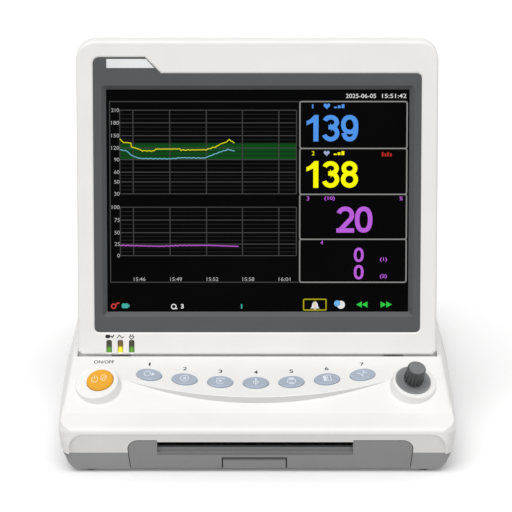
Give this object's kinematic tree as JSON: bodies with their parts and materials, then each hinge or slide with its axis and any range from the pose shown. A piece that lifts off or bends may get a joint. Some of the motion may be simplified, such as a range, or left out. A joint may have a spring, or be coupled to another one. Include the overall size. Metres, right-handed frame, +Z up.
{
  "type": "cardiotocograph",
  "caption": "Desktop fetal monitor with a folding screen on a wedge-shaped base, a curved key strip, a control knob, and a paper drawer with a strip printer.",
  "frame": {"origin": "middle of the base's footprint, on the table", "axes": "+X to the user's right, +Y from the key strip to the rear wall, +Z up"},
  "size_m": [0.322, 0.35, 0.332],
  "materials": {
    "white_housing": "fine texture",
    "grey_chassis": "fine texture",
    "dark_bezel": "satin",
    "screen_glass": "gloss",
    "panel_module": "satin",
    "circuit_board": "satin",
    "lamp_lens": "frosted",
    "indicator_lens": "frosted",
    "key_cap": "satin",
    "button_cap": "satin",
    "knob": "satin",
    "dish": "satin",
    "steel": "brushed",
    "rubber": "matt",
    "gear": "moulded",
    "black_part": "satin",
    "battery_case": "satin",
    "socket_shell": "satin",
    "brass": "bright"
  },
  "bodies": {
    "base": {"base_upper_cover": "white_housing", "base_lower_chassis": "grey_chassis", "rubber_feet": "rubber", "battery_pack": "battery_case", "battery_door": "grey_chassis", "hinge_posts": "steel", "key_board": "circuit_board", "power_switch": "black_part", "encoder_dish": "dish", "encoder_body": "panel_module", "drawer_runners": "black_part", "printer_frame": "steel", "print_head": "panel_module", "stepper_motor": "black_part", "main_board": "circuit_board", "power_supply": "circuit_board", "speaker": "black_part", "socket_plate": "grey_chassis", "mains_inlet": "black_part", "data_socket": "panel_module", "earth_stud": "brass", "transducer_socket_1": "socket_shell", "transducer_socket_2": "socket_shell", "transducer_socket_3": "socket_shell", "transducer_socket_4": "socket_shell"},
    "display": {"display_front_frame": "white_housing", "display_rear_cover": "white_housing", "screen_bezel": "dark_bezel", "screen_window": "screen_glass", "lcd_module": "panel_module", "display_board": "circuit_board", "alarm_lamp": "lamp_lens", "indicator_lenses": "indicator_lens", "hinge_pins": "steel", "hinge_brackets": "steel"},
    "power_button": {"power_button": "button_cap"},
    "encoder_rotor": {"encoder_rotor": "black_part"},
    "knob": {"control_knob": "knob", "encoder_shaft": "steel"},
    "drawer": {"drawer_front": "grey_chassis", "paper_tray": "grey_chassis"},
    "latch": {"drawer_latch": "grey_chassis"},
    "platen": {"platen_shaft": "steel", "platen_roller": "rubber", "platen_gear": "gear"},
    "idler": {"idler_gear": "gear"},
    "pinion": {"motor_pinion": "brass", "motor_shaft": "steel"},
    "key_1": {"key_1": "key_cap"},
    "key_2": {"key_2": "key_cap"},
    "key_3": {"key_3": "key_cap"},
    "key_4": {"key_4": "key_cap"},
    "key_5": {"key_5": "key_cap"},
    "key_6": {"key_6": "key_cap"},
    "key_7": {"key_7": "key_cap"}
  },
  "joints": [
    {"name": "display_fold", "type": "hinge", "parent": "base", "child": "display", "pos_m": [0, -0.07962, 0.08169], "axis": [-1, 0, 0], "range_deg": [0, 81]},
    {"name": "power_press", "type": "slide", "parent": "base", "child": "power_button", "axis": [0.1761, 0.4384, -0.8814], "range_m": [0, 0.0015], "stiffness_N_per_m": 900, "springref_m": -0.0005},
    {"name": "encoder_turn", "type": "hinge", "parent": "base", "child": "encoder_rotor", "pos_m": [0.1265, -0.135, 0.0677], "axis": [0.1761, -0.4384, 0.8814], "continuous": true},
    {"name": "knob_push", "type": "slide", "parent": "encoder_rotor", "child": "knob", "axis": [-0.1761, 0.4384, -0.8814], "range_m": [0, 0.0008], "stiffness_N_per_m": 2500, "springref_m": -0.0005},
    {"name": "drawer_slide", "type": "slide", "parent": "base", "child": "drawer", "axis": [0, -1, 0], "range_m": [0, 0.125]},
    {"name": "latch_press", "type": "slide", "parent": "drawer", "child": "latch", "axis": [0, 1, 0], "range_m": [0, 0.003], "stiffness_N_per_m": 700, "springref_m": -0.001},
    {"name": "platen_spin", "type": "hinge", "parent": "drawer", "child": "platen", "pos_m": [0, -0.151, 0.0204], "axis": [1, 0, 0], "continuous": true},
    {"name": "idler_spin", "type": "hinge", "parent": "base", "child": "idler", "pos_m": [0, -0.1294, 0.0204], "axis": [1, 0, 0], "continuous": true},
    {"name": "pinion_spin", "type": "hinge", "parent": "base", "child": "pinion", "pos_m": [0, -0.11485, 0.0288], "axis": [1, 0, 0], "continuous": true},
    {"name": "key_1_press", "type": "slide", "parent": "base", "child": "key_1", "axis": [0, 0.2924, -0.9563], "range_m": [0, 0.001], "stiffness_N_per_m": 700, "springref_m": -0.0005},
    {"name": "key_2_press", "type": "slide", "parent": "base", "child": "key_2", "axis": [0, 0.2924, -0.9563], "range_m": [0, 0.001], "stiffness_N_per_m": 700, "springref_m": -0.0005},
    {"name": "key_3_press", "type": "slide", "parent": "base", "child": "key_3", "axis": [0, 0.2924, -0.9563], "range_m": [0, 0.001], "stiffness_N_per_m": 700, "springref_m": -0.0005},
    {"name": "key_4_press", "type": "slide", "parent": "base", "child": "key_4", "axis": [0, 0.2924, -0.9563], "range_m": [0, 0.001], "stiffness_N_per_m": 700, "springref_m": -0.0005},
    {"name": "key_5_press", "type": "slide", "parent": "base", "child": "key_5", "axis": [0, 0.2924, -0.9563], "range_m": [0, 0.001], "stiffness_N_per_m": 700, "springref_m": -0.0005},
    {"name": "key_6_press", "type": "slide", "parent": "base", "child": "key_6", "axis": [0, 0.2924, -0.9563], "range_m": [0, 0.001], "stiffness_N_per_m": 700, "springref_m": -0.0005},
    {"name": "key_7_press", "type": "slide", "parent": "base", "child": "key_7", "axis": [0, 0.2924, -0.9563], "range_m": [0, 0.001], "stiffness_N_per_m": 700, "springref_m": -0.0005}
  ],
  "couplings": [
    {"joint": "idler_spin", "follows": "platen_spin", "ratio": -0.8},
    {"joint": "pinion_spin", "follows": "platen_spin", "ratio": 2}
  ]
}
